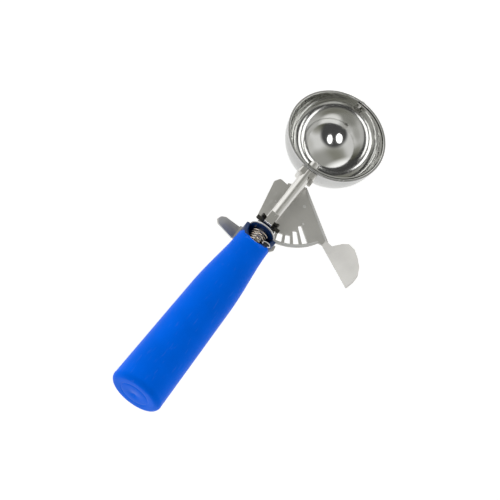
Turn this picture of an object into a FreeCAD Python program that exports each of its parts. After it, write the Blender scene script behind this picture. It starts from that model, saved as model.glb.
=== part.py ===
import FreeCAD, Part
import math
import os
import Sketcher
from FreeCAD import Placement, Rotation, Vector

# Thumb-lever ice cream scoop, in millimetres.
# The origin is the centre of the handle's butt face, +X runs along the rod to the bowl,
# +Z points up out of the bowl, and the thumb tab is on the -Y side.

doc = FreeCAD.newDocument("scoop")
sheet = doc.addObject("Spreadsheet::Sheet", "Sizes")

SIZES = {
    # handle
    "handle_length": 124.6, "butt_radius": 15.4, "grip_radius": 14.2, "waist_radius": 13.1,
    "neck_radius": 10.0, "neck_length": 14.6, "waist_length": 30, "grip_taper": 40,
    "butt_round": 3.2, "neck_sweep": 150, "butt_ring_radius": 8.0, "butt_ring_width": 1.0, "butt_ring_depth": 0.5,
    "throat_radius": 7.4, "throat_depth": 32, "throat_slant": 13.1, "throat_rise": 8.5,
    # rod and tubes
    "rod_radius": 2.0, "rod_inside": 28.6, "tube_radius": 3.4, "tube_bore": 2.5, "tang_inside": 64.6,
    "running_gap": 0.05, "bush_length": 5, "tube_to_pinion": 1.6,
    # pinion and sector
    "pinion_ahead": 6.4, "pinion_width": 2.0, "pinion_teeth": 8, "pinion_tip_radius": 7.7,
    "pinion_root_radius": 4.5, "tooth_foot": 1.8, "tooth_tip": 1.0, "hub_radius": 3.3, "hub_length": 1.2, "lock_radius": 0.4,
    "mesh_radius": 27, "slot_pitch": 10, "slot_width_angle": 6.6, "slot_end_radius": 30.4,
    "slot_start_radius": 25.2, "slot_growth": 3.0, "slot_count": 6,
    "plate_top": 5.5, "plate_thickness": 1.2, "sector_radius": 32.2, "wall_bottom": 13.0,
    "tab_fold": -32, "tab_rise": 32, "lobe_fold": 12, "lobe_rise": 30,
    "washer_radius": 4.2, "washer_thickness": 0.6, "rivet_radius": 2.0, "rivet_head_radius": 3.6,
    "rivet_head_height": 1.1, "eye_gap": 0.08, "seat_gap": 0.03,
    # yoke over the pinion
    "yoke_width": 5.0, "yoke_thickness": 1.2, "yoke_gap": 0.6,
    # bowl and blade
    "shank_reach": 43.3, "bowl_radius": 28.5, "bowl_wall": 0.9, "skirt_height": 4.0,
    "lip_overhang": 0.6, "lip_height": 1.1, "blade_gap": 0.5, "blade_thickness": 0.8,
    "blade_width": 8.0, "blade_hub_radius": 3.4, "blade_hub_length": 4.0,
    "far_pin_radius": 1.5, "far_boss_radius": 3.0, "far_boss_length": 2.0,
    "saddle_width": 11.0, "saddle_length": 7.0,
    # spring
    "spring_wire": 0.5, "spring_radius": 4.6, "spring_turns": 6, "spring_leg": 3.5, "spring_sides": 8, "spring_pitch": 1.6, "spring_inside": 11.1,
}
for row, (alias, value) in enumerate(SIZES.items(), 1):
    sheet.set("A%d" % row, str(value))
    sheet.setAlias("A%d" % row, alias)
doc.recompute()


class Size:
    """A length from the sheet, which carries its value and its expression together."""

    def __init__(self, value, text):
        self.value = float(value)
        self.text = text

    def join(self, other, sign, value):
        text = other.text if isinstance(other, Size) else repr(float(other))
        return Size(value, "(%s %s %s)" % (self.text, sign, text))

    def __add__(self, other):
        return self.join(other, "+", self.value + float(other))

    def __sub__(self, other):
        return self.join(other, "-", self.value - float(other))

    def __mul__(self, other):
        return self.join(other, "*", self.value * float(other))

    def __float__(self):
        return self.value


places = {}


def size(alias):
    """A size from the sheet, or a place that was worked out from such sizes."""
    if alias in places:
        return places[alias]
    return Size(getattr(sheet, alias), "Sizes." + alias)


def number(alias):
    return float(size(alias))


places["neck_station"] = size("handle_length") - size("neck_length")
places["waist_station"] = size("neck_station") - size("waist_length")
places["grip_station"] = size("waist_station") - size("grip_taper")
places["throat_top"] = size("handle_length") - size("throat_slant")
places["tang_start"] = size("handle_length") - size("tang_inside")
places["rod_start"] = size("handle_length") - size("rod_inside")
places["spring_start"] = size("handle_length") - size("spring_inside")
places["pinion_place"] = size("handle_length") + size("pinion_ahead")
places["lip_radius"] = size("bowl_radius") + size("bowl_wall") + size("lip_overhang")
places["bowl_centre"] = size("pinion_place") + size("shank_reach") + size("lip_radius")


parts = []


def keep(feature, label):
    """Names a finished piece and puts it in the list of pieces to write."""
    feature.Label = label
    parts.append(feature)
    return feature


def made(label, shape):
    """A piece whose shape is worked out from the sheet by hand."""
    feature = doc.addObject("Part::Feature", label + "_piece")
    feature.Shape = shape
    feature.Placement = Placement()
    return keep(feature, label)


def origin_plane(body, role):
    return [item for item in body.Origin.OriginFeatures if item.Role == role][0]


def draw(body, name, plane, corners):
    """A closed sketch through corners whose coordinates are bound to the sheet."""
    sketch = body.newObject("Sketcher::SketchObject", name)
    sketch.AttachmentSupport = [(origin_plane(body, plane), "")]
    sketch.MapMode = "FlatFace"
    spots = [Vector(float(x), float(y), 0) for x, y in corners]
    for index, spot in enumerate(spots):
        sketch.addGeometry(Part.LineSegment(spot, spots[(index + 1) % len(spots)]), False)
    for index in range(len(spots)):
        sketch.addConstraint(Sketcher.Constraint("Coincident", index, 2, (index + 1) % len(spots), 1))
    for index, corner in enumerate(corners):
        for kind, along in (("DistanceX", corner[0]), ("DistanceY", corner[1])):
            place = sketch.addConstraint(Sketcher.Constraint(kind, -1, 1, index, 1, float(along)))
            if isinstance(along, Size):
                sketch.setExpression("Constraints[%d]" % place, along.text)
    return sketch


def turned(label, corners):
    """A piece turned about the rod's axis from a profile of (along, radius) corners."""
    body = doc.addObject("PartDesign::Body", label + "_body")
    sketch = draw(body, label + "_profile", "XY_Plane", corners)
    turn = body.newObject("PartDesign::Revolution", label + "_turn")
    turn.Profile = sketch
    turn.ReferenceAxis = (sketch, ["H_Axis"])
    turn.Angle = 360
    doc.recompute()
    return body


def ring(start, stop, inner, outer):
    """The four corners of a plain sleeve."""
    return [(start, inner), (stop, inner), (stop, outer), (start, outer)]


def rod_shape(start, length, radius, axis=Vector(1, 0, 0)):
    return Part.makeCylinder(radius, length, start, axis)


def box_between(low, high):
    return Part.makeBox(high[0] - low[0], high[1] - low[1], high[2] - low[2], Vector(*low))


# Handle: one moulded grip that tapers, necks in and ends in an oblique open throat
length = size("handle_length")
ring_in = size("butt_ring_radius")
handle = turned("handle", [
    (0.0, 0.0),
    (0.0, ring_in),
    (size("butt_ring_depth"), ring_in),
    (size("butt_ring_depth"), ring_in + size("butt_ring_width")),
    (0.0, ring_in + size("butt_ring_width")),
    (0.0, size("butt_radius")),
    (size("grip_station"), size("grip_radius")),
    (size("waist_station"), size("waist_radius")),
    (size("neck_station"), size("neck_radius")),
    (length, size("neck_radius")),
    (length, size("throat_radius")),
    (length - size("throat_depth"), size("throat_radius")),
    (length - size("throat_depth"), size("tube_radius")),
    (size("tang_start"), size("tube_radius")),
    (size("tang_start"), 0.0),
])


def rims(shape, stations):
    """The names of the round edges that lie at the given (along, radius) stations."""
    names = []
    for index, edge in enumerate(shape.Edges, 1):
        if isinstance(edge.Curve, Part.Circle):
            for along, radius in stations:
                if abs(edge.Curve.Center.x - along) < 0.05 and abs(edge.Curve.Radius - radius) < 0.05:
                    names.append("Edge%d" % index)
    return names


grip = handle.Tip
butt = handle.newObject("PartDesign::Fillet", "butt_rounding")
butt.Base = (grip, rims(grip.Shape, [(0.0, number("butt_radius"))]))
butt.setExpression("Radius", "Sizes.butt_round")
doc.recompute()
waist = handle.newObject("PartDesign::Fillet", "neck_rounding")
waist.Base = (butt, rims(butt.Shape, [(number("waist_station"), number("waist_radius")),
                                      (number("neck_station"), number("neck_radius"))]))
waist.setExpression("Radius", "Sizes.neck_sweep")
doc.recompute()
throat_sketch = draw(handle, "throat_side", "XZ_Plane", [
    (size("throat_top"), size("neck_radius") + 3.0),
    (size("throat_top"), size("throat_rise")),
    (length, 0.0),
    (length + 3.0, 0.0),
    (length + 3.0, size("neck_radius") + 3.0),
])
throat = handle.newObject("PartDesign::Pocket", "throat_cut")
throat.Profile = throat_sketch
throat.Type = 1
throat.Midplane = True
doc.recompute()
if throat.Shape.Volume > waist.Shape.Volume - 100:
    raise RuntimeError("the throat cut took nothing away")
keep(handle, "handle")

# Tubes that carry the rod, on both sides of the pinion
pinion_back = size("pinion_place") - size("pinion_width") * 0.5
pinion_front = size("pinion_place") + size("pinion_width") * 0.5
tang_stop = pinion_back - size("tube_to_pinion") - size("hub_length")
shank_start = pinion_front + size("tube_to_pinion")
bowl_outside = size("bowl_radius") + size("bowl_wall")
shank_stop = size("bowl_centre") - size("lip_radius") - 0.1
keep(turned("tang_tube", ring(size("tang_start"), tang_stop, size("tube_bore"), size("tube_radius"))), "tang_tube")
keep(turned("shank_tube", ring(shank_start, shank_stop, size("tube_bore"), size("tube_radius"))), "shank_tube")

bush_bore = size("rod_radius") + size("running_gap")
for label, start in (("rear_bush", size("rod_start") + 2.0), ("mouth_bush", tang_stop - size("bush_length")),
                     ("front_bush", shank_start), ("bowl_bush", shank_stop - size("bush_length"))):
    keep(turned(label, ring(start, start + size("bush_length"), bush_bore, size("tube_bore"))), label)

# Yoke: a bent strap that joins the two tubes over the pinion
tip = number("pinion_tip_radius") + number("yoke_gap")
strap = number("yoke_thickness")
half = number("yoke_width") / 2
tube = number("tube_radius")
yoke_low = number("tube_bore") + 0.3
back_leg = float(tang_stop) - strap
front_leg = float(shank_start)
yoke = box_between((back_leg, -half, yoke_low), (back_leg + strap, half, tip + strap))
yoke = yoke.fuse(box_between((front_leg, -half, yoke_low), (front_leg + strap, half, tip + strap)))
yoke = yoke.fuse(box_between((back_leg, -half, tip), (front_leg + strap, half, tip + strap))).removeSplitter()
top_edges = [edge for edge in yoke.Edges if edge.BoundBox.ZMin > tip + strap - 0.01
             and edge.BoundBox.XLength < 0.01]
yoke = yoke.makeFillet(strap * 0.8, top_edges)
tubes = rod_shape(Vector(back_leg - 1, 0, 0), front_leg + strap + 2 - back_leg, tube)
made("yoke", yoke.cut(tubes))

# Ejector rod, and the pinion that is pinned to it
blade_outside = number("bowl_radius") - number("blade_gap")
blade_inside = blade_outside - number("blade_thickness")
rod_stop = size("bowl_centre") - size("bowl_radius") + size("blade_gap") + size("blade_hub_length")
keep(turned("ejector_rod", [(size("rod_start"), 0.0), (rod_stop, 0.0), (rod_stop, size("rod_radius")),
                            (size("rod_start"), size("rod_radius"))]), "ejector_rod")


def pinion_shape():
    """A thin star gear: one outline of straight tapered teeth, with a hub behind it."""
    start = float(pinion_back)
    width = number("pinion_width")
    foot = number("tooth_foot") / 2
    end = number("tooth_tip") / 2
    root = number("pinion_root_radius")
    reach = number("pinion_tip_radius")
    teeth = int(number("pinion_teeth"))
    corners = []
    for index in range(teeth):
        spin = Rotation(Vector(1, 0, 0), index * 360 / teeth)
        for across, down in ((-foot, root), (-end, reach), (end, reach), (foot, root)):
            corners.append(spin.multVec(Vector(start, across, -down)))
    gear = Part.Face(Part.makePolygon(corners + corners[:1])).extrude(Vector(width, 0, 0))
    hub = rod_shape(Vector(start - number("hub_length"), 0, 0), number("hub_length") + width / 2,
                    number("hub_radius"))
    bore = rod_shape(Vector(start - 5, 0, 0), 12, number("rod_radius"))
    return gear.fuse(hub).cut(bore)


made("pinion", pinion_shape())


def sector_angle(index):
    """The direction of a slot from the lever's pivot, with slot 0 at the pinion."""
    return math.radians(180 + index * number("slot_pitch"))


pivot_x = number("pinion_place") + number("mesh_radius")
plate_z = -number("plate_top")
thick = number("plate_thickness")


def polar(radius, angle, z=0.0):
    return Vector(pivot_x + radius * math.cos(angle), radius * math.sin(angle), z)


def slot_cutter(index):
    """One tapered slot of the sector: two radial sides between two arcs."""
    centre = sector_angle(index)
    spread = math.radians(number("slot_width_angle") / 2)
    inner = number("slot_start_radius") - number("slot_growth") * max(0, index - 3)
    outer = number("slot_end_radius")
    a, b = centre - spread, centre + spread
    sides = [Part.LineSegment(polar(inner, a), polar(outer, a)),
             Part.Arc(polar(outer, a), polar(outer, centre), polar(outer, b)),
             Part.LineSegment(polar(outer, b), polar(inner, b)),
             Part.Arc(polar(inner, b), polar(inner, centre), polar(inner, a))]
    wire = Part.Wire([side.toShape() for side in sides])
    wire.translate(Vector(0, 0, plate_z - thick - 1))
    return Part.Face(wire).extrude(Vector(0, 0, thick + 2))


def flat_piece(corners, rounding, thickness, z):
    """A flat stamping through corners, with its upright edges rounded; its top is at z."""
    points = [Vector(x, y, z - thickness) for x, y in corners]
    solid = Part.Face(Part.makePolygon(points + points[:1])).extrude(Vector(0, 0, thickness))
    uprights = [edge for edge in solid.Edges if edge.BoundBox.ZLength > thickness * 0.9]
    return solid.makeFillet(rounding, uprights) if rounding else solid


def bent_flap(corners, rounding, fold, angle, z):
    """A flap cut flat and bent up by an angle about a fold line along X at the given Y."""
    flap = flat_piece(corners, rounding, thick, z)
    side = 1 if fold > 0 else -1
    low, high = sorted((fold, side * 90))
    flap = flap.common(box_between((0, low, -40), (300, high, 40)))
    flap.rotate(Vector(0, fold, z - thick), Vector(1, 0, 0), side * angle)
    return flap


def from_pivot(*corners):
    """Corners measured from the lever's pivot."""
    return [(pivot_x + along, across) for along, across in corners]


def lever_shape():
    """The stamped lever: toothed sector, wing, thumb tab, and the lobe that runs under the grip."""
    radius = number("sector_radius")
    first, last = math.radians(176), math.radians(249)
    middle = (first + last) / 2
    rim = Part.Arc(polar(radius, first), polar(radius, middle), polar(radius, last)).toShape()
    shoulder = [Vector(x, y, 0) for x, y in from_pivot((-9.8, -33.8), (11, -4.5), (6, 5.5))]
    outline = Part.Wire([rim, Part.makePolygon([polar(radius, last)] + shoulder + [polar(radius, first)])])
    outline.translate(Vector(0, 0, plate_z - thick))
    plate = Part.Face(outline).extrude(Vector(0, 0, thick))
    for index in range(int(number("slot_count"))):
        plate = plate.cut(slot_cutter(index))
    wing = flat_piece(from_pivot((-25, 1), (-25, 7.6), (1.4, 12.6), (5.2, 10.6), (4.4, 1)), 1.8, thick, plate_z)
    fold = number("tab_fold")
    neck = flat_piece(from_pivot((-14, -28), (-13.2, fold - 1), (-9.6, fold - 1), (-6, -26)), 0, thick, plate_z)
    tab = bent_flap(from_pivot((-12, -30), (-35, -61), (-29.5, -62.5), (-24.5, -62.6), (-18, -59.8),
                               (-13, -55.8), (-8.6, -51.2), (-6.4, -46.2), (-7.8, -42.6), (-11.8, -38), (-8.6, -30)),
                    0.6, fold, number("tab_rise"), plate_z)
    inner = radius - thick
    low = -number("wall_bottom")
    drop_first, drop_last = math.radians(182), math.radians(198)
    halfway = (drop_first + drop_last) / 2
    step = Part.Wire([Part.Arc(polar(radius, drop_first), polar(radius, halfway), polar(radius, drop_last)).toShape(),
                      Part.makePolygon([polar(radius, drop_last), polar(inner, drop_last)]),
                      Part.Arc(polar(inner, drop_last), polar(inner, halfway), polar(inner, drop_first)).toShape(),
                      Part.makePolygon([polar(inner, drop_first), polar(radius, drop_first)])])
    step.translate(Vector(0, 0, low))
    wall = Part.Face(step).extrude(Vector(0, 0, plate_z - low))
    lobe_fold = number("lobe_fold")
    arm = flat_piece(from_pivot((-29, -11), (-30.4, 0), (-32, lobe_fold), (-41.4, lobe_fold), (-41.6, 2), (-37, -8),
                                (-32, -11.5)), 0, thick, low + thick)
    lobe = bent_flap(from_pivot((-32, 9), (-36.2, 23.4), (-38.3, 25.9), (-41.2, 26.6), (-42.8, 24.4), (-42.2, 18),
                                (-41.4, 9)), 0.6, lobe_fold, number("lobe_rise"), low + thick)
    for piece in (wing, neck, tab, wall, arm, lobe):
        plate = plate.fuse(piece)
    eye = rod_shape(Vector(pivot_x, 0, plate_z - 2 * thick), 3 * thick, number("rivet_radius") + number("eye_gap"),
                    Vector(0, 0, 1))
    return plate.cut(eye).removeSplitter()


made("lever_plate", lever_shape())

# Lever pivot: a pad under the shank, a washer, and one rivet through both and the plate
washer_top = plate_z + number("seat_gap") + number("washer_thickness")
pad = rod_shape(Vector(pivot_x, 0, washer_top), -washer_top, number("washer_radius"), Vector(0, 0, 1))
rivet_r = number("rivet_radius")
shank_solid = rod_shape(Vector(pivot_x - 20, 0, 0), 40, tube)
rivet_hole = rod_shape(Vector(pivot_x, 0, 2 * plate_z), -2 * plate_z, rivet_r, Vector(0, 0, 1))
made("pivot_pad", pad.cut(shank_solid).cut(rivet_hole))
washer = rod_shape(Vector(pivot_x, 0, plate_z + number("seat_gap")), number("washer_thickness"),
                   number("washer_radius"), Vector(0, 0, 1))
made("lever_washer", washer.cut(rivet_hole))
head_top = plate_z - thick - number("seat_gap")
rivet = rod_shape(Vector(pivot_x, 0, head_top), -tube - head_top, rivet_r, Vector(0, 0, 1))
rivet = rivet.fuse(rod_shape(Vector(pivot_x, 0, head_top - number("rivet_head_height")),
                             number("rivet_head_height"), number("rivet_head_radius"), Vector(0, 0, 1)))
made("lever_rivet", rivet.cut(shank_solid).removeSplitter())

# Bowl: a spun hemisphere with a short straight skirt and a rolled lip
centre = Vector(number("bowl_centre"), 0, 0)
inside = number("bowl_radius")
outside = inside + number("bowl_wall")
skirt = number("skirt_height")
lip = number("lip_radius")


def cup(radius, height):
    """A hemisphere about the bowl's centre with a cylinder of the same radius above it."""
    ball = Part.makeSphere(radius, centre, Vector(0, 0, 1), -90, 0, 360)
    return ball.fuse(rod_shape(centre, height, radius, Vector(0, 0, 1)))


lip_ring = rod_shape(centre + Vector(0, 0, skirt - number("lip_height")), number("lip_height"), lip,
                     Vector(0, 0, 1))
lip_ring = lip_ring.makeFillet(number("lip_height") * 0.4, [lip_ring.Edges[0], lip_ring.Edges[2]])
near_hole = rod_shape(Vector(centre.x - 40, 0, 0), 40, number("rod_radius") + number("running_gap"))
far_hole = rod_shape(centre, 40, number("far_pin_radius"))
bowl = cup(outside, skirt).fuse(lip_ring).cut(cup(inside, skirt + 1)).cut(near_hole).cut(far_hole)
made("bowl", bowl.removeSplitter())

# Saddle that carries the bowl on the end of the shank
saddle_x = centre.x - outside
saddle = box_between((saddle_x - number("saddle_length") + 2, -number("saddle_width") / 2, -5.5),
                     (saddle_x + 3, number("saddle_width") / 2, 3.2))
saddle = saddle.makeFillet(1.6, [edge for edge in saddle.Edges if edge.BoundBox.XLength > 2])
made("bowl_saddle", saddle.cut(cup(outside, skirt)).cut(lip_ring).cut(
    rod_shape(Vector(saddle_x - 20, 0, 0), 19.7, tube)).cut(near_hole))

# Far pivot: a round-headed pin through the bowl's wall that the blade's eye turns on
pin_r = number("far_pin_radius")
boss = number("far_boss_radius")
far_pin = rod_shape(Vector(centre.x + blade_inside - 1.2, 0, 0), outside - blade_inside + 1.8, pin_r)
far_head = rod_shape(Vector(centre.x + outside - 0.05, 0, 0), number("far_boss_length"), boss)
far_head = far_head.makeFillet(0.8, [edge for edge in far_head.Edges if edge.BoundBox.XMin > centre.x + outside
                                     + number("far_boss_length") - 0.2])
made("far_pin", far_pin.fuse(far_head.cut(cup(outside, skirt))).removeSplitter())

# Sweep blade: a strip of a thin spherical shell that lies along the right wall at rest
shell = Part.makeSphere(blade_outside, centre).cut(Part.makeSphere(blade_inside, centre))
half_blade = number("blade_width") / 2
strip = shell.common(box_between((centre.x - 40, -40, -half_blade), (centre.x + 40, 2.5, half_blade - 0.6)))
eyes = rod_shape(centre, 40, pin_r + number("running_gap")).fuse(
    rod_shape(Vector(centre.x - 40, 0, 0), 40, number("rod_radius")))
made("sweep_blade", strip.cut(eyes))
hub_start = centre.x - blade_inside
hub = rod_shape(Vector(hub_start - 0.3, 0, 0), number("blade_hub_length"), number("blade_hub_radius"))
made("blade_hub", hub.common(Part.makeSphere(blade_inside, centre)).cut(eyes))


def biarc(start, start_way, stop, stop_way):
    """Two arcs that leave start and reach stop along the given unit directions."""
    gap = stop - start
    ways = start_way + stop_way
    a = 2 * (1 - start_way.dot(stop_way))
    b = 2 * gap.dot(ways)
    c = -gap.dot(gap)
    reach = -c / b if abs(a) < 1e-9 else (-b + math.sqrt(b * b - 4 * a * c)) / (2 * a)
    first = start + start_way * reach
    second = stop - stop_way * reach
    middle = (first + second) * 0.5
    arcs = []
    for begin, way, end in ((start, start_way, middle), (middle, (second - first).normalize(), stop)):
        chord = end - begin
        normal = way.cross(chord).normalize()
        side = normal.cross(way)
        radius = chord.dot(chord) / (2 * chord.dot(side))
        hub_point = begin + side * radius
        halfway = hub_point + ((begin + end) * 0.5 - hub_point).normalize() * abs(radius)
        arcs.append(Part.Arc(begin, halfway, end).toShape())
    return arcs


def spring_shape():
    """A torsion spring on the rod's axis: quarter-turn biarcs along a helix, swept by the wire."""
    radius = number("spring_radius")
    pitch = number("spring_pitch")
    start = number("spring_start")
    turn = 2 * math.pi

    def spot(step):
        angle = step * turn / 4
        place = Vector(start + pitch * step / 4, radius * math.cos(angle), radius * math.sin(angle))
        way = Vector(pitch / turn, -radius * math.sin(angle), radius * math.cos(angle)).normalize()
        return place, way

    arcs = []
    for step in range(4 * int(number("spring_turns"))):
        arcs += biarc(*spot(step), *spot(step + 1))
    leg = number("spring_leg")
    last, last_way = spot(4 * int(number("spring_turns")))
    tail = Part.LineSegment(last, last + last_way * leg).toShape()
    first, way = spot(0)
    place = first - way * leg
    path = Part.Wire([Part.LineSegment(place, first).toShape()] + arcs + [tail])
    wire = number("spring_wire")
    across = Vector(0, first.y, first.z).normalize()
    beside = way.cross(across)
    sides = int(number("spring_sides"))
    corners = [place + (across * math.cos(k * turn / sides) + beside * math.sin(k * turn / sides)) * wire
               for k in range(sides)]
    profile = Part.makePolygon(corners + corners[:1])
    print("spring least self-gap", round(pitch - 2 * wire, 3))
    return path.makePipeShell([profile], True, False)


made("return_spring", spring_shape())

# Spring cup: the steel collar on the tang that the spring winds around and is anchored to
cup_stop = size("spring_start") - size("spring_wire") - 0.3
keep(turned("spring_collar", ring(cup_stop - 5.0, cup_stop, size("tube_radius"),
                                  size("spring_radius") + size("spring_wire"))), "spring_collar")

# Pin that locks the pinion's hub to the rod
lock_x = float(pinion_back) - number("hub_length") / 2
lock_reach = number("hub_radius") + 0.25
lock = rod_shape(Vector(lock_x, 0, 0), lock_reach, number("lock_radius"), Vector(0, 0, 1))
pinion = [item for item in parts if item.Label == "pinion"][0]
pinion.Shape = pinion.Shape.cut(lock)
made("pinion_pin", lock.cut(rod_shape(Vector(lock_x - 2, 0, 0), 4, number("rod_radius"))))

doc.recompute()
for item in doc.Objects:
    if "Invalid" in item.State or "Error" in item.State:
        raise RuntimeError("failed object " + item.Label)
for item in parts:
    if item.Shape.isNull() or not item.Shape.isValid():
        raise RuntimeError("bad shape " + item.Label)

os.makedirs("parts", exist_ok=True)
for item in parts:
    item.Shape.exportStep("parts/%s.step" % item.Label)
    print(item.Label, len(item.Shape.Solids), round(item.Shape.Volume, 2))
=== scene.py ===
# %% [markdown]
# # A thumb-lever ice cream scoop
# The scoop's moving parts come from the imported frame. This lesson dresses them: a moulded blue
# grip, a spun and polished bowl, stamped steel for the lever, and soft studio light around it.

# %% Load the frame
import math
import bmesh
import bpy
import numpy as np
from mathutils import Matrix, Vector


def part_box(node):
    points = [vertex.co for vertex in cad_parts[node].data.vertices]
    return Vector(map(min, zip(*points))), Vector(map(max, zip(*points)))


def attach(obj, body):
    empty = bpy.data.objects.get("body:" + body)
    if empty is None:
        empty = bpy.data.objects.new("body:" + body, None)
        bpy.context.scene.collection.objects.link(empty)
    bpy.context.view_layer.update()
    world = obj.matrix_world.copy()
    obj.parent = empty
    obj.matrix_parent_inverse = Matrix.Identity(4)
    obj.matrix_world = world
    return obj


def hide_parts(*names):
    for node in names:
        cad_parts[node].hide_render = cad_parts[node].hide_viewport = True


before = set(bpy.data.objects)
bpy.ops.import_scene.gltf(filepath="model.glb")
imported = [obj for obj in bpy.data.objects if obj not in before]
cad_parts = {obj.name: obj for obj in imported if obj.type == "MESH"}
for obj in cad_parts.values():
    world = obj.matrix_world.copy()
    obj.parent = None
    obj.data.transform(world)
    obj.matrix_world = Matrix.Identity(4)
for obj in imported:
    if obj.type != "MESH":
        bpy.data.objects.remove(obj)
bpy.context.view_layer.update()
MM = 0.001
print("nodes in the frame:", len(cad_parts))

# %% [markdown]
# ## The camera
# The scoop is seen from above its grip, looking down into the bowl. A camera can be aimed by hand,
# but this one's tilt, turn and roll about a point on the rod were fitted to the rim and the grip.
# So three angles and a focal length are written down, and the camera's axes come from them.

# %% The camera's axes
TILT = math.radians(28.6)
TURN = math.radians(-3.24)
ROLL = math.radians(-38.12)
back = np.array([-math.sin(TILT) * math.cos(TURN), math.sin(TILT) * math.sin(TURN), math.cos(TILT)])
side = np.cross([1.0, 0.0, 0.0], back)
side /= np.linalg.norm(side)
up = np.cross(back, side)
right_axis = math.cos(ROLL) * side - math.sin(ROLL) * up
up_axis = math.sin(ROLL) * side + math.cos(ROLL) * up
print("the camera stands towards", np.round(back, 3))

# %% Aim the camera
AIM = np.array([0.1107, -0.0011, 0.0])
DISTANCE = 0.9
FOCAL_PIXELS = 1613.5
IMAGE_PIXELS = 500
SENSOR = 36.0
FAR_CLIP = 20
camera_data = bpy.data.cameras.new("camera")
camera_data.sensor_width = SENSOR
camera_data.lens = FOCAL_PIXELS / IMAGE_PIXELS * SENSOR
camera_data.clip_end = FAR_CLIP
camera = bpy.data.objects.new("camera", camera_data)
camera_place = np.eye(4)
camera_place[:3] = np.stack([right_axis, up_axis, back, AIM + back * DISTANCE], -1)
camera.matrix_world = Matrix(camera_place.tolist())
bpy.context.scene.collection.objects.link(camera)
bpy.context.scene.camera = camera
print("lens", round(camera_data.lens, 1))

# %% [markdown]
# ## Noise for the finishes
# Steel and plastic are never quite even: handling dulls them in patches, brushing or moulding
# leaves a grain, and use leaves scuffs. A picture could be wrapped round each piece, but noise
# on Object coordinates needs no unwrapping and never repeats, so all finishes are made from it.

# %% Helpers: coordinates, noise, and a value carried to a new range
def stretched(tree, where, scale, turn=(0, 0, 0)):
    """Coordinates scaled along each axis and then turned, so that noise on them gets a grain."""
    mapping = tree.nodes.new("ShaderNodeMapping")
    mapping.inputs["Scale"].default_value = scale
    mapping.inputs["Rotation"].default_value = turn
    tree.links.new(where, mapping.inputs["Vector"])
    return mapping.outputs["Vector"]


def noise(tree, where, scale, detail):
    """Smooth noise at the given coordinates, from 0 to 1."""
    texture = tree.nodes.new("ShaderNodeTexNoise")
    texture.inputs["Scale"].default_value = scale
    texture.inputs["Detail"].default_value = detail
    tree.links.new(where, texture.inputs["Vector"])
    return texture.outputs["Fac"]


def carried(tree, value, low, high, start=0.0, stop=1.0):
    """A value carried from the range start to stop over to the range low to high."""
    span = tree.nodes.new("ShaderNodeMapRange")
    span.inputs["From Min"].default_value = start
    span.inputs["From Max"].default_value = stop
    span.inputs["To Min"].default_value = low
    span.inputs["To Max"].default_value = high
    tree.links.new(value, span.inputs["Value"])
    return span.outputs["Result"]


print("helpers for noise: stretched, noise, carried")

# %% [markdown]
# ## One finish, many surfaces
# Metal and plastic differ mostly in how they reflect, so one function can make both from a
# colour, a roughness and a few more numbers. A coarse noise drifts the colour and the roughness.
# A fine one, stretched along the grain, becomes a faint bump. Of a third only the peaks are kept,
# as sparse scuffs that make the colour paler and the gloss duller. Separate node trees would do
# as well, but they would drift apart, and this way the finishes are easy to compare.

# %% Helper: a colour that drifts and wears
TONE_STOPS = (0.3, 0.7)
WORN_SHARE = 0.6
WORN_PALE = 0.35


def drifting_color(tree, color, shade, drift, scuffs):
    """The colour, darkened by the share shade where the drift is low, and paler where scuffed."""
    ramp = tree.nodes.new("ShaderNodeValToRGB")
    low, high = ramp.color_ramp.elements
    low.position, high.position = TONE_STOPS
    low.color = tuple(c * (1 - shade) for c in color) + (1,)
    high.color = tuple(color) + (1,)
    tree.links.new(drift, ramp.inputs["Fac"])
    worn = tree.nodes.new("ShaderNodeMix")
    worn.data_type = "RGBA"
    worn.inputs["B"].default_value = tuple(WORN_SHARE * c + WORN_PALE for c in color) + (1,)
    tree.links.new(scuffs, worn.inputs["Factor"])
    tree.links.new(ramp.outputs["Color"], worn.inputs["A"])
    return worn.outputs["Result"]


print("a scuff keeps", WORN_SHARE, "of the colour")

# %% Helper: a finish with drift, grain and scuffs
COARSE_NOISE = (60, 4)
FINE_NOISE = (30, 6)
SCUFF_NOISE = (22, 5)
SCUFF_TURN = (0.4, 0.3, 0.5)
SCUFF_PEAKS = (0.6, 0.72)
LEAST_ROUGHNESS = 0.01
BUMP_DEPTH = 0.0005


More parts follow.
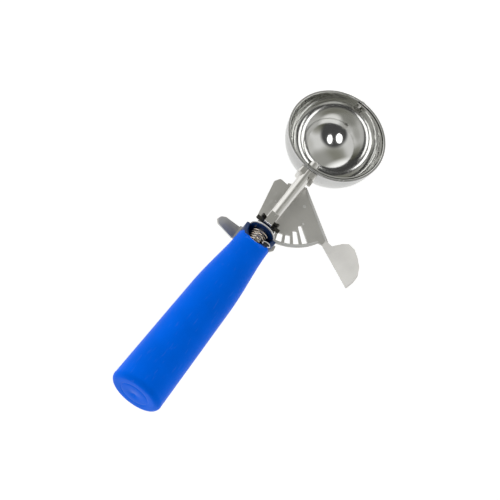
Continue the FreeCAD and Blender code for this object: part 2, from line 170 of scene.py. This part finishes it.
def finish(name, color, rough, metallic=1.0, rough_spread=0.05, grain=(40, 40, 40), bump=0.02,
           shade=0.12, scuff=0.15, scuff_grain=(9, 40, 40), gloss=0.3, gloss_tint=(1, 1, 1)):
    """A Principled finish: colour and roughness drift, a grain lifts it a little, scuffs lie on top."""
    material = bpy.data.materials.new(name)
    material.use_nodes = True
    tree = material.node_tree
    shader = tree.nodes["Principled BSDF"]
    shader.inputs["Metallic"].default_value = metallic
    shader.inputs["Specular IOR Level"].default_value = gloss
    shader.inputs["Specular Tint"].default_value = tuple(gloss_tint) + (1,)
    where = tree.nodes.new("ShaderNodeTexCoord").outputs["Object"]
    drift = noise(tree, where, *COARSE_NOISE)
    peaks = noise(tree, stretched(tree, where, scuff_grain, SCUFF_TURN), *SCUFF_NOISE)
    scuffs = carried(tree, peaks, 0, scuff, *SCUFF_PEAKS)
    tree.links.new(drifting_color(tree, color, shade, drift, scuffs), shader.inputs["Base Color"])
    dull = tree.nodes.new("ShaderNodeMath")
    dull.operation = "ADD"
    least = max(LEAST_ROUGHNESS, rough - rough_spread)
    tree.links.new(carried(tree, drift, least, rough + rough_spread), dull.inputs[0])
    tree.links.new(scuffs, dull.inputs[1])
    tree.links.new(dull.outputs["Value"], shader.inputs["Roughness"])
    relief = tree.nodes.new("ShaderNodeBump")
    relief.inputs["Strength"].default_value = bump
    relief.inputs["Distance"].default_value = BUMP_DEPTH
    tree.links.new(noise(tree, stretched(tree, where, grain), *FINE_NOISE), relief.inputs["Height"])
    tree.links.new(relief.outputs["Normal"], shader.inputs["Normal"])
    return material


print("scuffs show where their noise is above", SCUFF_PEAKS[0])

# %% [markdown]
# ## The scoop's finishes
# The grip is blue moulded plastic, and its mouth has a dark navy finish, a painted shade. The tubes
# are drawn, so their grain runs along them. The lever is satin sheet, and its pressed rim and
# dimples are a paler steel, a painted highlight. The bowl is satin outside and a mirror inside,
# which is the smoothest finish here, because any bump would tear its reflections. The pinion is
# dark, the spring a warmer wire, and the bushes are brass. The hoop and the spring's eye at the
# mouth are near-white wire, whose pale colour is a painted highlight on the mouth's edge, and a
# near-black disc is a painted shadow in a hole. Each could be built by hand in the shader editor,
# but with the function above it is one call.

# %% Finishes of plastic
MOULDED_GRAIN = (12, 12, 12)
handle_blue = finish("moulded_blue", (0.0, 0.155, 1.0), 0.3, metallic=0.0, rough_spread=0.08,
                     grain=MOULDED_GRAIN, bump=0.06, shade=0.1, scuff=0.04, scuff_grain=(6, 30, 30),
                     gloss=0.03, gloss_tint=(0.02, 0.8, 1.0))
# A dark navy finish: painted shade for the throat, the slanted cut, the band behind the mouth and the
# cap.
painted_shade_navy = finish("painted_navy_shade", (0.0, 0.03, 0.14), 0.4, metallic=0.0, grain=MOULDED_GRAIN,
                   bump=0.03, shade=0.1)
# Near black: a painted shadow for the hole under the spring's eye.
painted_hole_shadow = finish("painted_hole_shadow", (0.006, 0.008, 0.012), 0.5, metallic=0.0, grain=(20, 20, 20),
                      bump=0.05)
print("plastic finishes:", len(bpy.data.materials))

# %% Finishes of metal
ROUND_GRAIN = (20, 20, 20)
FINE_GRAIN = (30, 30, 30)
GRAIN_ALONG = (2, 60, 60)
# A paler, less metallic steel than the sheet: a painted highlight on the lever's rim and dimples.
painted_highlight_rim = finish("painted_highlight_rim", (0.74, 0.74, 0.725), 0.4, metallic=0.35, rough_spread=0.06,
                       grain=ROUND_GRAIN, bump=0.06)
# Near-white wire for the hoop and the spring's eye: its pale colour is a painted highlight.
painted_highlight_wire = finish("painted_highlight_wire", (0.9, 0.9, 0.9), 0.25, metallic=0.45, grain=ROUND_GRAIN, bump=0.04)
drawn_steel = finish("drawn_steel", (0.70, 0.69, 0.665), 0.2, grain=GRAIN_ALONG, bump=0.05)
satin_sheet = finish("satin_sheet", (0.64, 0.63, 0.605), 0.36, metallic=0.65, rough_spread=0.06,
                     grain=(50, 6, 50), bump=0.12, shade=0.16, scuff=0.3)
satin_bowl = finish("satin_bowl", (0.51, 0.51, 0.505), 0.22, grain=(6, 6, 90), bump=0.03)
mirror_bowl = finish("mirror_bowl", (0.74, 0.74, 0.725), 0.085, rough_spread=0.03,
                     grain=(10, 10, 60), bump=0.004, shade=0.05, scuff=0.05)
gear_steel = finish("gear_steel", (0.07, 0.068, 0.06), 0.35, rough_spread=0.08, grain=ROUND_GRAIN,
                    bump=0.1)
spring_wire = finish("spring_wire", (0.72, 0.62, 0.52), 0.25, rough_spread=0.06, grain=FINE_GRAIN,
                     bump=0.05)
bush_brass = finish("bush_brass", (0.66, 0.50, 0.28), 0.3, rough_spread=0.06, grain=FINE_GRAIN,
                    bump=0.05)
print("finishes made:", len(bpy.data.materials))

# %% [markdown]
# ## Turned surfaces
# The grip and the bowl are round about an axis, as if they came from a lathe. A Screw modifier
# could spin their profiles, but numpy gives the whole surface as one array, which the grip's
# slanted mouth can bend: rows follow the profile, and columns go round the axis.

# %% Helper: a grid of points becomes a closed smooth mesh
MERGE_REACH = 1e-7


def grid_piece(name, points, material, body):
    """A mesh from points[row, column], joined round the columns, with each end row drawn to a pole."""
    rows, columns = points.shape[:2]
    row, column = np.meshgrid(np.arange(rows - 1), np.arange(columns), indexing="ij")
    after = (column + 1) % columns
    quads = np.stack([row * columns + column, row * columns + after,
                      (row + 1) * columns + after, (row + 1) * columns + column], -1).reshape(-1, 4)
    mesh = bpy.data.meshes.new(name)
    mesh.from_pydata(points.reshape(-1, 3).tolist(), [], quads.tolist())
    work = bmesh.new()
    work.from_mesh(mesh)
    bmesh.ops.remove_doubles(work, verts=work.verts, dist=MERGE_REACH)
    bmesh.ops.recalc_face_normals(work, faces=work.faces)
    work.to_mesh(mesh)
    work.free()
    mesh.polygons.foreach_set("use_smooth", np.ones(len(mesh.polygons), dtype=bool))
    mesh.materials.append(material)
    piece = bpy.data.objects.new(name, mesh)
    bpy.context.scene.collection.objects.link(piece)
    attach(piece, body)
    print(name, "faces", len(mesh.polygons))
    return piece


print("grid_piece merges points closer than", MERGE_REACH, "m")

# %% Helpers: an arc, circles round the rod's axis, and a second finish
def arc(centre, radius, start, stop, count):
    """The centre plus the radius times cosine and sine, from one angle in degrees to another."""
    angle = np.radians(np.linspace(start, stop, count))
    return np.stack([centre[0] + radius * np.cos(angle), centre[1] + radius * np.sin(angle)], -1)


def turned(along, radius, turn):
    """Circles round X: a place along the rod, then the radius times cosine and sine of the turn."""
    along, radius, turn = np.broadcast_arrays(along, radius, turn)
    return np.stack([along, radius * np.cos(turn), radius * np.sin(turn)], -1)


def face_centres(piece):
    """The middle of every face of a piece, one row of X, Y and Z each."""
    centres = np.empty(len(piece.data.polygons) * 3)
    piece.data.polygons.foreach_get("center", centres)
    return centres.reshape(-1, 3)


def second_finish(piece, material, chosen):
    """Gives the chosen faces of a piece another finish than the rest."""
    piece.data.materials.append(material)
    piece.data.polygons.foreach_set("material_index", chosen.astype(np.int32))
    print(piece.name, "faces in", material.name, int(chosen.sum()))


print("a quarter arc of 3 points:", np.round(arc((0, 0), 1, 0, 90, 3), 2).tolist())

# %% [markdown]
# ## The grip
# The real grip is one piece of glossy plastic: a gentle taper, a necked-in front, and an open
# throat cut at a slant. A cylinder could be cut with a Boolean, but its lip would be sharp. Here
# the outer wall's end is worked out for each angle, so the slanted cut and its rounded lip are
# part of the same formula as the wall. The cut starts at CUT_TOP, a place along X and a height,
# and comes out at the mouth at the height CUT_END.

# %% The grip's sizes
GRIP_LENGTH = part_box("handle")[1][0]
BUTT_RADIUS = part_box("handle")[1][1]
GRIP_STATIONS = np.array([0.0, 40, 80, 110, 130]) * MM
GRIP_RADII = np.array([BUTT_RADIUS, 14.2 * MM, 13.1 * MM, 10 * MM, 10 * MM])
TAPER_BLEND = 8 * MM
BUTT_ROUND = 3.2 * MM
THROAT_RADIUS = 7.4 * MM
THROAT_FLOOR = GRIP_LENGTH - 32 * MM
CUT_TOP = np.array([111.5, 8.5]) * MM
CUT_END = 0.0
LIP_ROUND = 0.6 * MM
PARTING_RISE = 0.0025
PARTING_WIDTH = 0.012
WALL_ROWS = 90
LIP_ROWS = 11
THROAT_ROWS = 16
print("grip length and butt radius, mm", round(GRIP_LENGTH / MM, 1), round(BUTT_RADIUS / MM, 1))

# %% The butt's profile, the taper and the slanted cut
GATE_DIMPLE = [[0.2, 0], [0.2, 0.9], [0.0, 1.3]]
RING_GROOVE = [[0.0, 7.6], [0.06, 8.0], [0.18, 8.3], [0.18, 8.7], [0.06, 9.0], [0.0, 9.4]]
butt_flat = np.array(GATE_DIMPLE + RING_GROOVE) * MM
butt_corner = arc((BUTT_ROUND, BUTT_RADIUS - BUTT_ROUND), BUTT_ROUND, 180, 90, 14)
butt_profile = np.concatenate([butt_flat, butt_corner])


def grip_radius(along):
    """The taper between the stations, averaged over twice TAPER_BLEND so that its bends are soft."""
    shifts = np.linspace(-TAPER_BLEND, TAPER_BLEND, 17)
    return np.mean([np.interp(along + shift, GRIP_STATIONS, GRIP_RADII) for shift in shifts], axis=0)


def cut_place(height):
    """How far along the grip the slanted cut lies at a given height: a straight line in X and Z."""
    slope = (GRIP_LENGTH - CUT_TOP[0]) / (CUT_END - CUT_TOP[1])
    return np.clip(CUT_TOP[0] + slope * (height - CUT_TOP[1]), CUT_TOP[0], GRIP_LENGTH)


print("points on the butt's profile:", len(butt_profile))

# %% The moulded grip
def grip_points(columns=192):
    """Circles round X for the butt, the tapered wall with its parting line, the lip and the throat.

    The parting line is a low ridge on both sides, a bell curve of the sine of the turn. The lip is
    half an ellipse from the outer wall to the throat, and its ends follow the slanted cut.
    """
    turn = np.linspace(0, 2 * np.pi, columns, endpoint=False)
    neck = float(grip_radius(GRIP_LENGTH))
    outer_end = cut_place(neck * np.sin(turn))
    inner_end = cut_place(THROAT_RADIUS * np.sin(turn))
    share = np.linspace(0, 1, WALL_ROWS)[1:, None]
    wall = BUTT_ROUND + share * (outer_end - LIP_ROUND - BUTT_ROUND)
    ridge = 1 + PARTING_RISE * np.exp(-(np.sin(turn) / PARTING_WIDTH) ** 2)
    bend = np.radians(np.linspace(90, -90, LIP_ROWS))[1:-1, None]
    across = 0.5 - 0.5 * np.sin(bend)
    lip = outer_end * (1 - across) + inner_end * across - LIP_ROUND * (1 - np.cos(bend))
    down = np.linspace(0, 1, THROAT_ROWS)[:, None]
    throat = (inner_end - LIP_ROUND) * (1 - down) + THROAT_FLOOR * down
    return np.concatenate([
        turned(butt_profile[:, :1], butt_profile[:, 1:], turn),
        turned(wall, grip_radius(wall) * ridge, turn),
        turned(lip, neck - (neck - THROAT_RADIUS) * across, turn),
        turned(throat, THROAT_RADIUS, turn),
        turned(THROAT_FLOOR, 0.0, turn)[None]])


grip = grid_piece("grip_shell", grip_points(), handle_blue, "frame")
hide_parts("handle")

# %% [markdown]
# ## The dark mouth
# The throat, the slanted cut and a short band behind the mouth look dark navy on the real grip. Here
# that darkness is painted shade: these faces take a dark navy finish for the shade in and around
# the mouth. A second shell would do, but it would have to float over the first. The same faces
# simply take a second finish, chosen by where each face's middle lies.

# %% Dark faces at the mouth
DARK_BAND = 9.2 * MM
CUT_REACH = 9.7 * MM
CUT_HEIGHT = 7 * MM
CUT_MARGIN = 1.5 * MM
BORE_MARGIN = 0.02 * MM
FLOOR_MARGIN = 0.1 * MM
middles = face_centres(grip)
reach = np.hypot(middles[:, 1], middles[:, 2])
bore = (reach < THROAT_RADIUS + BORE_MARGIN) & (middles[:, 0] > THROAT_FLOOR - FLOOR_MARGIN)
near_cut = (middles[:, 0] > CUT_TOP[0] - CUT_MARGIN) & (middles[:, 2] < CUT_HEIGHT)
mouth_band = middles[:, 0] > GRIP_LENGTH - DARK_BAND
# The chosen faces take the dark navy painted shade.
second_finish(grip, painted_shade_navy, bore | (near_cut & (reach < CUT_REACH)) | mouth_band)

# %% [markdown]
# ## Wire and cap at the mouth
# A cap closes the mouth round the rod, in the same dark navy painted shade, with a thin hoop of
# near-white wire pressed on its edge; the hoop's pale colour is a painted highlight along the mouth's
# edge. The spring's tail ends in a small open eye that is hooked over the edge of the throat, in the
# same near-white wire, which also paints the highlight on that edge. Curves with a round bevel would
# make such wire, but a circle swept along another circle is one formula, and its ends close by
# themselves. The cap is a turned washer, and the recess a flattened near-black ball, a painted shadow
# in a hole.

# %% Helper: wire bent round part of a circle
WIRE_RING = np.linspace(0, 2 * np.pi, 14, endpoint=False)[:, None]
WIRE_BLUNTNESS = 40


def ring_wire(place, first_way, second_way, radius, wire, start, stop, count=72):
    """Round wire: a small circle carried along an arc in the plane of two given directions.

    The arc is the place plus the radius times cosine and sine of the bend along the two
    directions. The wire's circle shrinks to a point at both ends, as 1 - s ** 40 under a root.
    """
    bend = np.radians(np.linspace(start, stop, count))[:, None]
    outward = np.cos(bend) * first_way + np.sin(bend) * second_way
    lift = np.cross(first_way, second_way)
    ends = np.sqrt(np.clip(1 - np.linspace(-1, 1, count) ** WIRE_BLUNTNESS, 0, 1))[:, None, None]
    around = np.cos(WIRE_RING) * outward[:, None, :] + np.sin(WIRE_RING) * lift
    return (place + outward * radius)[:, None, :] + wire * ends * around


print("points round a wire:", len(WIRE_RING))

# %% The hoop and the cap
Y_WAY = np.array([0.0, 1.0, 0.0])
Z_WAY = np.array([0.0, 0.0, 1.0])
HOOP_PLACE = np.array([GRIP_LENGTH + 0.2 * MM, 0.0, 0.0])
HOOP_RADIUS = THROAT_RADIUS + 0.3 * MM
HOOP_WIRE = 0.48 * MM
HOOP_SPAN = (-90, 269.9)
CAP_PROFILE = np.array([[-0.6, 3.5], [-0.6, 3.6], [-0.6, 7.2], [-0.5, 7.34], [-0.1, 7.34], [0, 7.2],
                        [0, 3.6], [0, 3.5], [-0.1, 3.46], [-0.5, 3.46], [-0.6, 3.5]]) * MM
# The hoop's near-white wire paints the highlight along the mouth's edge.
hoop = ring_wire(HOOP_PLACE, Y_WAY, Z_WAY, HOOP_RADIUS, HOOP_WIRE, *HOOP_SPAN, count=120)
grid_piece("mouth_highlight_hoop", hoop, painted_highlight_wire, "frame")
# The cap takes the dark navy painted shade.
cap_turn = np.linspace(0, 2 * np.pi, 96, endpoint=False)
cap = turned(GRIP_LENGTH + CAP_PROFILE[:, :1], CAP_PROFILE[:, 1:], cap_turn)
grid_piece("mouth_cap", cap, painted_shade_navy, "frame")

# %% The spring's eye and its recess
CUT_WAY = np.array([GRIP_LENGTH - CUT_TOP[0], 0, CUT_END - CUT_TOP[1]])
CUT_WAY = CUT_WAY / np.linalg.norm(CUT_WAY)
CUT_NORMAL = np.array([-CUT_WAY[2], 0, CUT_WAY[0]])
EYE_PLACE = np.array([116.6, -6.5, 5.2]) * MM
EYE_LIFT = 0.3 * MM
EYE_RADIUS = 2.3 * MM
EYE_WIRE = 0.33 * MM
EYE_SPAN = (130, -150)
RECESS_RADIUS = 1.9 * MM
RECESS_HALF = 0.15 * MM


def recess_points():
    """A flattened ball: RECESS_RADIUS wide in the plane of the cut, RECESS_HALF thick each way."""
    spread = np.linspace(0, 2 * np.pi, 36, endpoint=False)[None, :, None]
    swell = np.radians(np.linspace(-90, 90, 15))[:, None, None]
    outward = np.cos(spread) * CUT_WAY + np.sin(spread) * Y_WAY
    flat = EYE_PLACE + RECESS_RADIUS * np.cos(swell) * outward
    return flat + CUT_NORMAL * (RECESS_HALF * np.sin(swell))


eye_middle = EYE_PLACE + CUT_NORMAL * EYE_LIFT
# The eye is wire whose near-white colour also paints the highlight on the throat's edge.
eye = ring_wire(eye_middle, CUT_WAY, Y_WAY, EYE_RADIUS, EYE_WIRE, *EYE_SPAN)
grid_piece("spring_eye", eye, painted_highlight_wire, "frame")
# The near-black flattened ball is a painted shadow in the hole under the eye.
grid_piece("painted_eye_hole_shadow", recess_points(), painted_hole_shadow, "frame")

# %% [markdown]
# ## The bowl
# A bowl is spun from one disc of stainless steel: a round bottom, a short straight skirt and a
# rolled lip. A sphere could be cut in half and thickened with Solidify. Its inside must be very
# smooth, though, because it is a concave mirror, so the whole profile comes from circles' formulas
# and not from the facets of the CAD node.

# %% The bowl's sizes
BOWL_LOW, BOWL_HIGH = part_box("bowl")
BOWL_CENTRE = np.array([(BOWL_LOW[0] + BOWL_HIGH[0]) / 2, 0.0, 0.0])
BOWL_INSIDE = 28.5 * MM
BOWL_OUTSIDE = -BOWL_LOW[2]
LIP_RADIUS = (BOWL_HIGH[0] - BOWL_LOW[0]) / 2
RIM = BOWL_HIGH[2]
ROLL_OUTSIDE = 0.5 * MM
ROLL_INSIDE = 0.45 * MM
UNDER_ROLL = np.array([[0.0, -1.5], [0.15, -1.15]]) * MM
SKIRT_TOP = RIM - 0.6 * MM
SKIRT_FOOT = 0.1 * MM
print("wall at the lip, mm", round((LIP_RADIUS - BOWL_INSIDE) / MM, 2))

# %% The spun bowl
def bowl_points(columns=288):
    """A profile of radius and height from the outer pole, over the lip, to the inner pole.

    Both shells are quarter circles about the bowl's centre, and the lip is two small arcs. Each
    point goes round Z as its radius times the cosine and sine of the turn.
    """
    outer = arc((0, 0), BOWL_OUTSIDE, -90, 0, 70)
    under = UNDER_ROLL + [BOWL_OUTSIDE, RIM]
    outer_roll = arc((LIP_RADIUS - ROLL_OUTSIDE, RIM - ROLL_OUTSIDE), ROLL_OUTSIDE, -50, 90, 9)
    inner_roll = arc((BOWL_INSIDE + ROLL_INSIDE, RIM - ROLL_INSIDE), ROLL_INSIDE, 90, 180, 7)
    skirt = np.linspace([BOWL_INSIDE, SKIRT_TOP], [BOWL_INSIDE, SKIRT_FOOT], 6)
    inner = arc((0, 0), BOWL_INSIDE, 0, -90, 110)
    profile = np.concatenate([outer, under, outer_roll, inner_roll, skirt, inner])
    profile[0, 0] = profile[-1, 0] = 0
    turn = np.linspace(0, 2 * np.pi, columns, endpoint=False)
    return np.stack([BOWL_CENTRE[0] + profile[:, :1] * np.cos(turn), profile[:, :1] * np.sin(turn),
                     profile[:, 1:] + 0 * turn], -1)


bowl = grid_piece("bowl_shell", bowl_points(), satin_bowl, "frame")
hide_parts("bowl")

# %% [markdown]
# ## The mirror inside the bowl
# Only the inside of the bowl is polished to a mirror. It could be a mesh of its own, but then the
# lip would have a seam. A face counts as inside if it lies near the inner radius: from the
# bowl's centre below the skirt, and from its axis above.

# %% Polish the inside
MIRROR_MARGIN = 0.4 * MM
centres = face_centres(bowl)
from_axis = np.linalg.norm((centres - BOWL_CENTRE) * [1, 1, 0], axis=1)
height = centres[:, 2]
from_middle = np.where(height < 0, np.hypot(from_axis, height), from_axis)
second_finish(bowl, mirror_bowl, from_middle < BOWL_INSIDE + MIRROR_MARGIN)

# %% [markdown]
# ## The lever's pressed rim
# The press turns the edges of the sector up into a narrow rounded rim, which stiffens the sheet.
# A Bevel would only round the sheet's own edge, so the rim is a half-round bead swept along the
# outline: one ring of points for each station, with its lower half sunk a little into the sheet.

# %% The rounded rim of the sector
PIVOT = np.array([158.0, 0.0]) * MM
PLATE_TOP = -5.5 * MM
SECTOR_RADIUS = 31.4 * MM
SECTOR_SPAN = (194, 246)
SIDE_FOOT = np.array([-10.2, -32.4]) * MM
SIDE_TOP = np.array([9.8, -4.9]) * MM
BEAD_BLUNTNESS = 12
BEAD_BELOW = 0.2 * MM
BEADS = [
    ("sector_rim", arc((0, 0), SECTOR_RADIUS, *SECTOR_SPAN, 60), 0.65 * MM, 0.35 * MM),
    ("side_rim", np.linspace(SIDE_FOOT, SIDE_TOP, 40), 0.75 * MM, 0.4 * MM),
]


def bead_points(path, half_width, height):
    """A ring across each point of the path, high above the plate and shallow below it.

    Across the path the ring is the half width times the cosine. Its upper half is the height times
    the sine, and its lower half BEAD_BELOW times the sine. The rings shrink to a point at the
    path's ends, as 1 - s ** 12 under a root.
    """
    along = np.gradient(path, axis=0)
    along /= np.linalg.norm(along, axis=1, keepdims=True)
    across = np.stack([-along[:, 1], along[:, 0]], -1)
    ring = np.linspace(0, 2 * np.pi, 20, endpoint=False)
    taper = np.sqrt(np.clip(1 - np.linspace(-1, 1, len(path)) ** BEAD_BLUNTNESS, 0, 1))[:, None]
    flat = path[:, None, :] + across[:, None, :] * (half_width * np.cos(ring) * taper)[:, :, None]
    rise = PLATE_TOP + taper * np.where(np.sin(ring) > 0, height, BEAD_BELOW) * np.sin(ring)
    return np.concatenate([flat + PIVOT, rise[:, :, None]], -1)


# The beads take a paler, less metallic finish than the sheet: a painted highlight along the rim.
for name, path, half_width, height in BEADS:
    grid_piece(name, bead_points(path, half_width, height), painted_highlight_rim, "lever")

# %% [markdown]
# ## The lever's dimples
# Three small dimples are pressed up in the sheet. Sculpting or a displaced sheet would need a
# dense mesh all over the lever, so each dimple is a low dome of its own that stands on it.

# %% Three pressed dimples
DIMPLES = [((157.9, -10.1), 1.0), ((148.0, -15.6), 0.8), ((149.0, 4.6), 0.6)]
DIMPLE_HEIGHT = 0.28 * MM
DIMPLE_BELOW = 0.15 * MM


def dimple_points(place, radius, height):
    """Circles of radius times cosine, lifted by height times sine, and sunk by DIMPLE_BELOW."""
    ring = np.linspace(0, 2 * np.pi, 32, endpoint=False)
    lift = np.radians(np.linspace(-90, 90, 17))
    level = np.where(lift > 0, height, DIMPLE_BELOW) * np.sin(lift)
    width = radius * np.cos(lift)
    return np.stack([place[0] + width[:, None] * np.cos(ring), place[1] + width[:, None] * np.sin(ring),
                     PLATE_TOP + level[:, None] + 0 * ring], -1)


# The dimples take the same paler finish: a painted highlight on each dome.
for number, (place, radius) in enumerate(DIMPLES):
    dome = dimple_points(np.array(place) * MM, radius * MM, DIMPLE_HEIGHT)
    grid_piece("dimple_" + str(number), dome, painted_highlight_rim, "lever")

# %% [markdown]
# ## Finishes for the frame's own pieces
# The tubes, pins, bushes and the lever's sheet have their true shape already. They could be made
# again as smooth surfaces, but at this size their facets don't show, so each takes only a finish.

# %% Dress the CAD nodes
NODE_FINISH = {
    "tang_tube": drawn_steel, "shank_tube": drawn_steel, "yoke": drawn_steel, "ejector_rod": drawn_steel,
    "rear_bush": bush_brass, "mouth_bush": bush_brass, "front_bush": bush_brass, "bowl_bush": bush_brass,
    "pinion": gear_steel, "pinion_pin": drawn_steel, "lever_plate": satin_sheet, "pivot_pad": drawn_steel,
    "lever_washer": drawn_steel, "lever_rivet": drawn_steel, "bowl_saddle": drawn_steel,
    "far_pin": drawn_steel, "sweep_blade": mirror_bowl, "blade_hub": drawn_steel,
    "return_spring": spring_wire, "spring_collar": drawn_steel,
}
for node, material in NODE_FINISH.items():
    piece = bpy.data.objects[node]
    piece.data.materials.clear()
    piece.data.materials.append(material)
print("dressed nodes:", len(NODE_FINISH))

# %% [markdown]
# ## The room
# Polished steel shows what stands around it, so the room is part of the finish. Painted cards on
# stands would do, but a world needs no extra objects. It is pale all over, with soft darker and
# lighter walls, each a cone of directions blended in by its dot product with one axis. A cone is
# given by its axis, in degrees right of and above the camera, its half angle and its soft edge.

# %% Helper: a direction counted from the camera
def toward(right, over):
    """The direction that lies so many degrees to the right of the camera and above it."""
    spread = math.hypot(right, over)
    swing = math.radians(spread)
    sideways = (right_axis * right + up_axis * over) / spread
    return back * math.cos(swing) + sideways * math.sin(swing)


print("ninety degrees to the right:", np.round(toward(90, 0), 3))

# %% The world: a pale room with soft walls
ROOM_TONE = (0.62, 0.62, 0.61, 1)
ROOM_STRENGTH = 1.3
WALLS = [
    ("far_wall", 0, 42, 24, 18, (0.21, 0.21, 0.18, 1)),
    ("far_sheet", 34, 54, 22, 14, (0.30, 0.30, 0.28, 1)),
    ("left_panel", -62, 12, 30, 14, (0.57, 0.57, 0.56, 1)),
    ("high_left_panel", -24, 84, 32, 10, (1.0, 1.0, 0.99, 1)),
    ("right_panel", 92, 2, 20, 8, (0.8, 0.8, 0.8, 1)),
    ("right_gap", 68, 14, 14, 10, (0.48, 0.48, 0.46, 1)),
    ("low_corner", 38, -40, 20, 10, (0.25, 0.25, 0.22, 1)),
    ("near_wall", 6, -54, 30, 14, (0.05, 0.05, 0.03, 1)),
    ("camera_side", 0, -14, 32, 5, (0.06, 0.06, 0.06, 1)),
]
world = bpy.data.worlds.new("studio")
world.use_nodes = True
nodes, links = world.node_tree.nodes, world.node_tree.links
look = nodes.new("ShaderNodeTexCoord")
tone = None
for name, right, over, half, soft, color in WALLS:
    dot = nodes.new("ShaderNodeVectorMath")
    dot.operation = "DOT_PRODUCT"
    links.new(look.outputs["Generated"], dot.inputs[0])
    dot.inputs[1].default_value = toward(right, over)
    edge = nodes.new("ShaderNodeMapRange")
    edge.interpolation_type = "SMOOTHSTEP"
    edge.inputs["From Min"].default_value = math.cos(math.radians(half + soft))
    edge.inputs["From Max"].default_value = math.cos(math.radians(half - soft))
    links.new(dot.outputs["Value"], edge.inputs["Value"])
    blend = nodes.new("ShaderNodeMix")
    blend.data_type = "RGBA"
    blend.name = name
    links.new(edge.outputs["Result"], blend.inputs["Factor"])
    blend.inputs["A"].default_value = ROOM_TONE
    if tone:
        links.new(tone, blend.inputs["A"])
    blend.inputs["B"].default_value = color
    tone = blend.outputs["Result"]
links.new(tone, nodes["Background"].inputs["Color"])
nodes["Background"].inputs["Strength"].default_value = ROOM_STRENGTH
bpy.context.scene.world = world
print("walls in the room:", len(WALLS))

# %% [markdown]
# ## How light is counted
# The inside of the bowl reflects itself again and again towards its lip, and a ray that gives up
# too early comes back black. More bounces cost little here. The Standard view keeps the grip's
# blue and the white floor as they are, where a film-like view would grey them.

# %% Bounces and view
LIGHT_BOUNCES = 32
bpy.context.scene.cycles.max_bounces = LIGHT_BOUNCES
bpy.context.scene.cycles.glossy_bounces = LIGHT_BOUNCES
bpy.context.scene.view_settings.view_transform = "Standard"
print("bounces of light:", LIGHT_BOUNCES)

# %% [markdown]
# ## The floor
# A plain pale floor lies far below the scoop, so that no shadow reaches it. It also shines a
# little, as a lit sweep does, because a floor that only gets the room's light comes out grey.

# %% A pale floor that shines a little
FLOOR_DROP = 0.25
FLOOR_HALF = 6
FLOOR_TONE = (0.95, 0.95, 0.95, 1)
FLOOR_ROUGH = 0.9
FLOOR_GLOW = 0.53


def pale_floor(name, level):
    """A flat square, FLOOR_HALF each way from the origin, at a given level."""
    near, far = -FLOOR_HALF, FLOOR_HALF
    corners = [(near, near, level), (far, near, level), (far, far, level), (near, far, level)]
    mesh = bpy.data.meshes.new(name)
    mesh.from_pydata(corners, [], [(0, 1, 2, 3)])
    material = bpy.data.materials.new(name)
    material.use_nodes = True
    shader = material.node_tree.nodes["Principled BSDF"]
    shader.inputs["Base Color"].default_value = FLOOR_TONE
    shader.inputs["Roughness"].default_value = FLOOR_ROUGH
    shader.inputs["Emission Color"].default_value = FLOOR_TONE
    shader.inputs["Emission Strength"].default_value = FLOOR_GLOW
    mesh.materials.append(material)
    plane = bpy.data.objects.new(name, mesh)
    bpy.context.scene.collection.objects.link(plane)


pale_floor("floor", BOWL_LOW[2] - FLOOR_DROP)
print("floor below the bowl, m", FLOOR_DROP)

# %% [markdown]
# ## Lamps
# Two soft oval lamps on either side of the camera make the twin highlights at the bottom of the
# bowl, and the bright ring round it is their second reflection. Point lamps would leave two hard
# dots. Each lamp's power follows its area, so its size can change and its brightness stays.

# %% Two lamps beside the camera
LAMP_REACH = 0.95
LAMP_GLOW = 2.2
LAMPS = [("lamp_right", 10, -2, 0.2, 0.36), ("lamp_left", -13, -4, 0.25, 0.4)]


def lamp(name, way, width, height):
    """An oval area light at LAMP_REACH from the bowl, facing it. Its power is LAMP_GLOW times pi,
    its width and its height.
    """
    data = bpy.data.lights.new(name, "AREA")
    data.shape = "ELLIPSE"
    data.size, data.size_y = width, height
    data.energy = LAMP_GLOW * math.pi * width * height
    light = bpy.data.objects.new(name, data)
    facing = np.stack([right_axis, up_axis, way], -1)
    place = BOWL_CENTRE + way * LAMP_REACH
    light.matrix_world = Matrix.Translation(Vector(place)) @ Matrix(facing.tolist()).to_4x4()
    bpy.context.scene.collection.objects.link(light)


for name, right, over, width, height in LAMPS:
    lamp(name, toward(right, over), width, height)
print("lamps:", len(bpy.data.lights))
